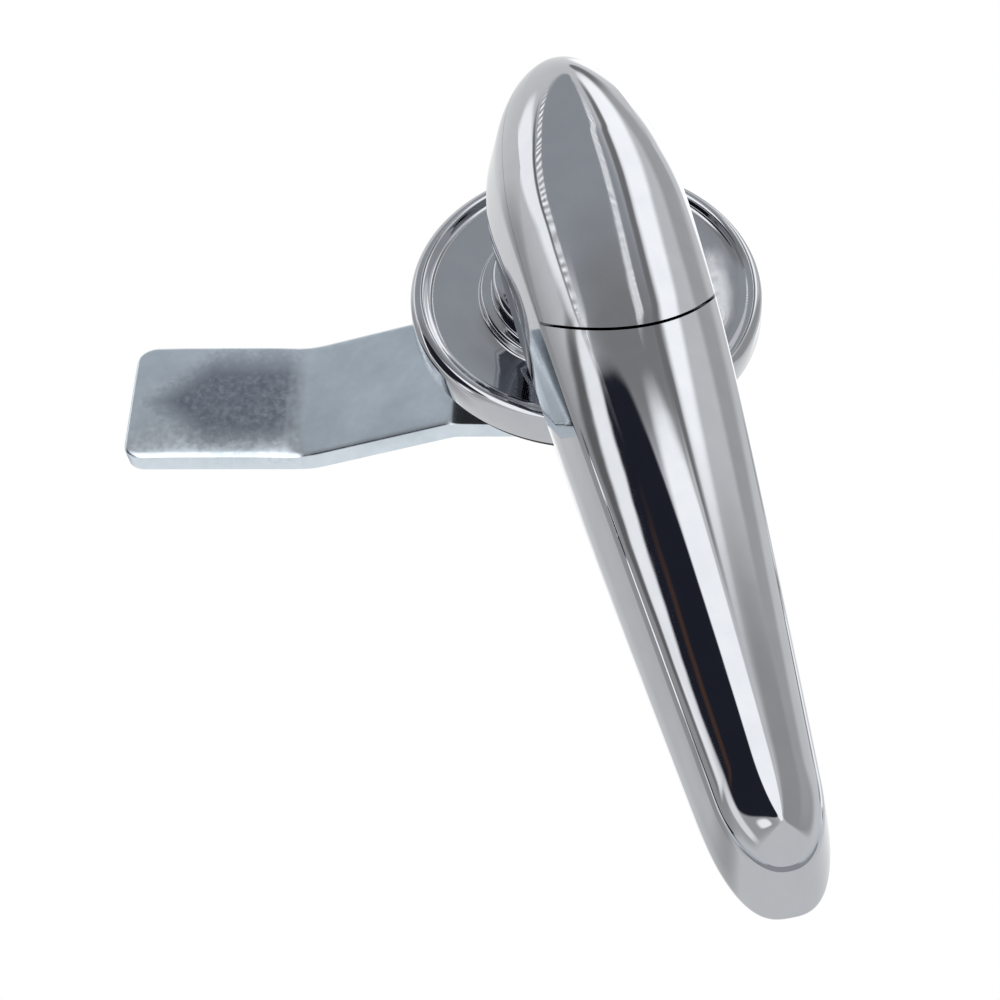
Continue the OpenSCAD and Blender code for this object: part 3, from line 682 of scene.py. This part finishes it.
def rosette_profile():
    """From the bore at the back, out round the rim, and in over the face, step and collar to the bore."""
    rim = (ROSETTE_R - RIM_R, RIM_TOP - RIM_R)
    round_rim = arc(rim, RIM_R, 0, RIM_TURN, 26)
    profile = [(BORE_R, GASKET_T), (ROSETTE_R - 0.5, GASKET_T), (ROSETTE_R - 0.15, GASKET_T + 0.15),
               (ROSETTE_R, GASKET_T + 0.5), (ROSETTE_R, rim[1] - 0.6)]
    profile += round_rim
    profile += fillet(round_rim[-1], (RIM_FOOT, FACE_H), (FACE_OUT, FACE_H), 8)[1:]
    profile += [(ring, FACE_H) for ring in FACE_RINGS]
    profile += fillet((FACE_IN, FACE_H), (STEP_FOOT, FACE_H), (STEP_R, FACE_H + 0.5), 6)
    profile += arc((STEP_R - STEP_ROUND, STEP_TOP - STEP_ROUND), STEP_ROUND, 0, 90, 10)
    profile += fillet((COLLAR_FOOT, STEP_TOP), (COLLAR_R, STEP_TOP), (COLLAR_R, STEP_TOP + 0.4), 6)
    profile += arc((COLLAR_R - COLLAR_ROUND, COLLAR_TOP - COLLAR_ROUND), COLLAR_ROUND, 0, 90, 14)
    return profile + [(NECK_R + 1.0, COLLAR_TOP), (BORE_R, COLLAR_TOP)]


def make_rosette():
    rosette = lathe("rosette_dressed", rosette_profile(), 256)
    low, high = COLLAR_TOP - PIN_HOLE_DEEP, COLLAR_TOP + PAST
    for place in ((0, -PIN_CIRCLE), (PIN_CIRCLE, 0), (0, PIN_CIRCLE), (-PIN_CIRCLE, 0)):
        combine(rosette, rod("cutter", PIN_HOLE_R, low, high, place, 48), "DIFFERENCE")
    combine(rosette, stop_slot("cutter", low, high), "DIFFERENCE")
    join(rosette, threaded_stem("stem"))
    finish_piece(rosette, "rosette_base", "chrome", "base")


# The cranked cam, its edges rounded by the stamping

def soft_step(z):
    """Zero below zero and z above it, with a soft corner between them."""
    return z if z > 30 * BEND_SOFT else BEND_SOFT * math.log1p(math.exp(z / BEND_SOFT))


def cam_height(x):
    """Height of the cam's front face at x along it."""
    steep = CAM_CRANK / (BEND - BEND_END)
    return CAM_FRONT - steep * (soft_step(BEND - x) - soft_step(BEND_END - x))


def cam_roll(x, y):
    """How far the stamping draws the cam's face down towards its edges, more on the tip section."""
    tip = clamp01((BEND_END - x) / ROLL_FADE)
    side = (ROLL_SIDE + ROLL_TIP_SIDE * tip) * (abs(y) / (CAM_W / 2)) ** ROLL_POWER
    return side + tip * ROLL_ENDS * clamp01(abs(x - ROLL_MIDDLE) / ROLL_HALF) ** ROLL_POWER


def cam_half_width(x):
    """Half the cam's width at x: a round hub, straight sides, and rounded corners at the tip."""
    half, corner = CAM_W / 2, CAM_CORNER
    if x > 0:
        return math.sqrt(max(0.0, half ** 2 - x * x))
    if x < -CAM_LEN + corner:
        return half - corner + math.sqrt(max(0.0, corner ** 2 - (x + CAM_LEN - corner) ** 2))
    return half


def cam_stations():
    """Places along the cam where it gets a section, closest together at its round ends."""
    hub = [CAM_W / 2 * math.cos(a) for a in np.linspace(0.02, math.pi / 2, 28)]
    turn = np.linspace(0.05, math.pi / 2 - 0.02, 14)
    tip = [-CAM_LEN + CAM_CORNER - CAM_CORNER * math.sin(a) for a in turn]
    return hub + list(np.linspace(-0.6, -60.8, 150)) + tip + [-CAM_LEN]


def cam_section(x):
    """The section at x: how far across each of its points is, and how far above the front face."""
    wide = max(0.02, cam_half_width(x))
    r = min(CAM_EDGE, 0.9 * wide)
    near = max(0.0, CAM_EDGE - (x + CAM_LEN))
    shave = CAM_EDGE - math.sqrt(max(0.0, CAM_EDGE ** 2 - near ** 2))
    low, high = -CAM_T + shave, -shave
    quarter = np.linspace(0, math.pi / 2, 5)
    rim = [(wide - r + r * math.sin(a), high - r + r * math.cos(a)) for a in quarter]
    rim += [(wide - r + r * math.cos(a), low + r - r * math.sin(a)) for a in quarter]
    section = [(f * (wide - r), high) for f in np.linspace(-1, 1, 25)[:-1]] + rim
    section += [(f * (wide - r), low) for f in np.linspace(1, -1, 9)[1:-1]]
    return section + [(-y, n) for y, n in reversed(rim)][:-1]


def cam_turned(x, y):
    """A place along and across the cam, in the drawing's x and v."""
    c, s = math.cos(CAM_TILT), math.sin(CAM_TILT)
    return x * c + y * s, -x * s + y * c


def make_cam():
    points = []
    stations = cam_stations()
    ahead = 0.01
    for x in stations:
        height = cam_height(x)
        slope = (cam_height(x + ahead) - height) / ahead
        size = math.hypot(1, slope)
        for y, n in cam_section(x):
            rolled = height + n / size - cam_roll(x, y) * (1 + n / CAM_T)
            points.append((*cam_turned(x - n * slope / size, y), rolled))
    rows, count = len(stations), len(points) // len(stations)
    faces = grid_faces(rows, count)
    faces += [tuple(range(count)), tuple((rows - 1) * count + k for k in range(count))[::-1]]
    cam = make_object("cam_dressed", points, faces)
    half = SQUARE_HALF
    square = [cam_turned(x, y) for x, y in ((-half, -half), (half, -half), (half, half), (-half, half))]
    back = CAM_FRONT - CAM_T
    combine(cam, prism("cutter", square, back - PAST, square, CAM_FRONT + PAST), "DIFFERENCE")
    finish_piece(cam, "cam", "cam_zinc", "handle", 40)


# Fasteners behind the panel, and the gasket

def hexagon(name, across, low, high, chamfer, both):
    """A hexagon with turned corners at its outer end, or at both ends."""
    corner = across / 2 / math.cos(math.pi / 6)
    ring = [(corner * math.cos(a), corner * math.sin(a)) for a in np.arange(6) * math.pi / 3]
    body = make_object(name, [(x, v, h) for h in (low, high) for x, v in ring],
                       grid_faces(2, 6) + [tuple(range(6)), tuple(range(6, 12))[::-1]])
    inner, outer, drop = corner - chamfer, corner + 0.2, 1.1 * chamfer * math.tan(math.radians(30))
    profile = [(0, low), (inner, low), (outer, low + drop)]
    profile += [(outer, high - drop), (inner, high)] if both else [(outer, high)]
    combine(body, lathe("turning", profile + [(0, high)], 128), "INTERSECT")
    return body


def make_nut():
    nut = hexagon("panel_nut_dressed", NUT_ACROSS, NUT_BACK, NUT_FRONT, NUT_CHAMFER, True)
    bore, sink = STEM_R + NUT_CLEAR, STEM_R + NUT_SINK
    low, high = NUT_BACK - PAST, NUT_FRONT + PAST
    cutter = [(0, low), (sink, low), (sink, NUT_BACK), (bore, NUT_BACK + NUT_SINK_DEEP),
              (bore, NUT_FRONT - NUT_SINK_DEEP), (sink, NUT_FRONT), (sink, high), (0, high)]
    combine(nut, lathe("cutter", cutter, 128), "DIFFERENCE")
    finish_piece(nut, "panel_nut", "zinc_steel", "base", 20)


def make_gasket():
    inner, outer, top = STEM_R + 0.15, ROSETTE_R - 1, GASKET_T
    profile = [(inner, 0.15), (inner + 0.15, 0), (outer - 0.25, 0), (outer - 0.05, 0.08), (outer, 0.3),
               (outer, top - 0.2), (outer - 0.2, top), (inner + 0.15, top), (inner, top - 0.15)]
    finish_piece(lathe("gasket_dressed", profile), "panel_gasket", "gasket_rubber", "base", 50)


def make_cam_screw():
    screw = hexagon("cam_screw_dressed", SCREW_ACROSS, SCREW_BACK, SCREW_FRONT, SCREW_CHAMFER, False)
    combine(screw, rod("shank", SHANK_R, SCREW_FRONT - SHANK_IN, SHANK_END, sides=64), "UNION")
    finish_piece(screw, "cam_screw", "zinc_steel", "handle", 20)


def make_cam_washer():
    inner, outer, low, high = WASHER_BORE, WASHER_R, WASHER_BACK, WASHER_FRONT
    profile = [(inner, low + 0.1), (inner + 0.15, low), (outer - 0.2, low), (outer, low + 0.2),
               (outer, high - 0.2), (outer - 0.2, high), (inner + 0.15, high), (inner, high - 0.1)]
    finish_piece(lathe("cam_washer_dressed", profile, 128), "cam_washer", "zinc_steel", "handle", 20)


# The lock under the cover

def make_sleeve():
    face, back = LOCK_FACE, LOCK_FACE - FLANGE_T
    profile = [(SLEEVE_BORE, SLEEVE_BACK), (SLEEVE_R, SLEEVE_BACK), (SLEEVE_R, back), (FLANGE_R, back),
               (FLANGE_R, face - FLANGE_EDGE), (FLANGE_R - FLANGE_EDGE, face), (SLEEVE_BORE + MOUTH, face),
               (SLEEVE_BORE, face - MOUTH)]
    finish_piece(lathe("barrel_sleeve_dressed", profile, 160), "barrel_sleeve", "nickel", "handle", 20)


def make_plug():
    face = LOCK_FACE
    profile = [(0, TAIL_END), (TAIL_R, TAIL_END), (TAIL_R, PLUG_BACK), (PLUG_R, PLUG_BACK),
               (PLUG_R, face - PLUG_EDGE), (PLUG_R - PLUG_EDGE, face), (0, face)]
    plug = lathe("key_plug_dressed", profile, 128)
    for (left, low), (right, high) in (KEYWAY, WARD):
        ring = ((left, low), (right, low), (right, high), (left, high))
        combine(plug, prism("cutter", ring, face - KEYWAY_DEEP, ring, face + PAST), "DIFFERENCE")
    finish_piece(plug, "key_plug", "brass", "plug", 20)


make_camera()
make_handle()
make_cover()
make_rosette()
make_cam()
make_nut()
make_gasket()
make_cam_screw()
make_cam_washer()
make_sleeve()
make_plug()


# Surroundings

# Soft boxes and dark cards round the object, each with its place in degrees to the right of the front and
# above the horizon, half its width and height, its light where white is 1, how soft its edge is, and its lean
WHITE_ROOM = 0.92
DARK, WARM_DARK = (0.022, 0.024, 0.038), (0.10, 0.055, 0.04)
CARDS = {
    "side_wall": ((-112, 25), (33, 23), 0.50, 0.30, 0.0),
    "low_left": ((-66, -3), (34, 13), 0.58, 0.55, 0.0),
    "low_right": ((70, 9), (35, 18), 0.50, 0.20, 0.0),
    "ceiling": ((-12, 48), (50, 18), (0.47, 0.49, 0.52), 0.16, 0.0),
    "ceiling_edge": ((-8, 35), (44, 5), 0.34, 0.45, 0.0),
    "right_gap": ((93, 34), (8, 32), 0.60, 0.40, 0.0),
    "right_shadow": ((97, 64), (12, 8), 0.28, 0.35, 0.0),
    "front_box": ((-2, 10), (25, 21.5), 1.70, 0.08, 0.0),
    "camera_side": ((-52, 18), (30, 15.5), DARK, 0.05, 0.0),
    "warm_card": ((-68, 22), (2.4, 4.5), WARM_DARK, 0.70, 1.9),
    "left_card": ((-82, 29), (4, 9), 0.20, 0.50, 1.9),
    "left_strip": ((-74, 28), (6, 10), 1.55, 0.28, 1.9),
    "left_low_strip": ((-84, 4), (4, 17), 1.30, 0.40, 0.0),
    "upper_strip": ((-69, 50), (7, 13), 1.60, 0.25, -0.7),
    "left_line": ((-61.5, 47), (1.3, 11), 0.25, 0.50, -0.2),
    "right_line": ((29, 31), (4, 6), 0.28, 0.40, 0.0),
    "right_strip": ((60, 43), (12, 16), 1.75, 0.30, 1.3),
    "right_edge": ((41, 42), (4, 11), 0.28, 0.40, 1.7),
    "right_box": ((138, 46), (16, 18), 1.60, 0.30, 0.0),
    "back_strip": ((-160, 30), (6, 8), 1.80, 0.40, 0.0),
    "small_lamp": ((-62, -3), (8, 4), 1.60, 0.30, 0.0),
}
CARD_POWER = 3.0
# Two strings of small lamps, each with its place, half size, lean, the light between its lamps and their
# spacing. They run upwards from LAMP_FOOT in elevation, closest together there, and not quite evenly.
LAMPS = (((-57, 47), (2.6, 13), 0.0, 0.50, 0.13), ((22, 42), (4.5, 6), 2.6, 0.75, 0.068))
LAMP_FOOT, LAMP_LIGHT, LAMP_SOFT = 36.0, 1.95, 0.35
LAMP_UNEVEN, LAMP_SCALE = 1.6, 60.0


def make_world():
    scene_world = bpy.data.worlds.new("studio")
    bpy.context.scene.world = scene_world
    scene_world.use_nodes = True
    nodes = Nodes(scene_world.node_tree)
    way = nodes.add("TexCoord").outputs["Generated"]
    split = nodes.add("SeparateXYZ")
    nodes.link(way, split.inputs[0])
    x, y, z = split.outputs
    degrees = 180 / math.pi
    azimuth = nodes.math("MULTIPLY", nodes.math("ARCTAN2", x, nodes.math("MULTIPLY", y, -1)), degrees)
    elevation = nodes.math("MULTIPLY", nodes.math("ARCSINE", z), degrees)

    def card(below, place, half, light, soft, lean):
        """A panel with rounded corners in front of what is below it."""
        rise = nodes.math("SUBTRACT", elevation, place[1])
        off = nodes.math("SUBTRACT", azimuth, place[0])
        off = nodes.math("SUBTRACT", off, nodes.math("MULTIPLY", rise, lean))
        parts = [nodes.math("POWER", nodes.math("ABSOLUTE", nodes.math("DIVIDE", part, size)), CARD_POWER)
                 for part, size in zip((off, rise), half)]
        far = nodes.math("POWER", nodes.math("ADD", *parts), 1 / CARD_POWER)
        edge = nodes.add("MapRange", interpolation_type="SMOOTHSTEP")
        nodes.link(far, edge.inputs["Value"])
        edge.inputs["From Min"].default_value = 1 - soft
        edge.inputs["From Max"].default_value = 1 + soft
        edge.inputs["To Min"].default_value = 1
        edge.inputs["To Max"].default_value = 0
        return nodes.mix(edge.outputs[0], below, light)

    room = (WHITE_ROOM,) * 3
    for place, half, light, soft, lean in CARDS.values():
        room = card(room, place, half, light if isinstance(light, tuple) else (light,) * 3, soft, lean)
    along = nodes.math("SQRT", nodes.math("MAXIMUM", nodes.math("SUBTRACT", elevation, LAMP_FOOT), 0.0))
    grain = nodes.math("SUBTRACT", nodes.noise(way, LAMP_SCALE, detail=1.0, rough=0.5), 0.5)
    uneven = nodes.math("MULTIPLY", grain, LAMP_UNEVEN)
    for place, half, lean, between, spacing in LAMPS:
        beads = nodes.math("SINE", nodes.math("MULTIPLY", along, 2 * math.pi / spacing))
        dots = nodes.math("ADD", nodes.math("MULTIPLY", nodes.math("ADD", beads, uneven), 0.5), 0.5)
        string = nodes.ramp(dots, [(0.48, between), (0.72, LAMP_LIGHT)])
        room = card(room, place, half, string, LAMP_SOFT, lean)
    path = nodes.add("LightPath")
    colour = nodes.mix(path.outputs["Is Camera Ray"], room, (1.0, 1.0, 1.0))
    shader = nodes.add("Background")
    nodes.link(colour, shader.inputs["Color"])
    nodes.link(shader.outputs[0], nodes.add("OutputWorld").inputs[0])


# Half the floor's width and where it lies, in millimetres, and between which distances it fades, in metres
FLOOR_HALF, FLOOR_V = 600, -320
FLOOR_FADE = (0.40, 0.66)


def make_floor():
    """A pale floor that keeps the shadow. It fades into the white background, and is white in the chrome."""
    ends = (-FLOOR_HALF, FLOOR_HALF)
    corners = [(ends[i], FLOOR_V, ends[j]) for i, j in ((0, 0), (1, 0), (1, 1), (0, 1))]
    floor = make_object("floor", corners, [(0, 1, 2, 3)])
    mat, nodes, shader = material("pale_floor")
    shader.inputs["Base Color"].default_value = (0.8, 0.8, 0.8, 1)
    shader.inputs["Roughness"].default_value = 0.9
    path = nodes.add("LightPath")
    mirrored = nodes.math("MAXIMUM", path.outputs["Is Glossy Ray"], path.outputs["Is Transmission Ray"])
    glow = nodes.add("Emission")
    glow.inputs["Color"].default_value = (1, 1, 1, 1)
    dimmer = nodes.math("MULTIPLY", mirrored, 1 - WHITE_ROOM)
    nodes.link(nodes.math("SUBTRACT", 1.0, dimmer), glow.inputs["Strength"])
    far = nodes.add("VectorMath", operation="LENGTH")
    nodes.link(nodes.place(), far.inputs[0])
    fade = nodes.ramp(far.outputs["Value"], list(zip(FLOOR_FADE, (0.0, 1.0))), smooth=True)
    pick = nodes.add("MixShader")
    nodes.link(nodes.math("MAXIMUM", mirrored, fade), pick.inputs[0])
    nodes.link(shader.outputs[0], pick.inputs[1])
    nodes.link(glow.outputs[0], pick.inputs[2])
    nodes.link(pick.outputs[0], nodes.tree.nodes["Material Output"].inputs[0])
    floor.data.materials.append(mat)


make_world()
make_floor()
bpy.context.scene.view_settings.view_transform = "Standard"

# Every solid that still shows takes its own finish
SLOTS = {part["node"]: part["material_slot"] for part in frame["record"]["subparts"]}
for node_name, node_object in frame["nodes"].items():
    node_object.data.materials.clear()
    node_object.data.materials.append(MATERIALS[SLOTS[node_name]])
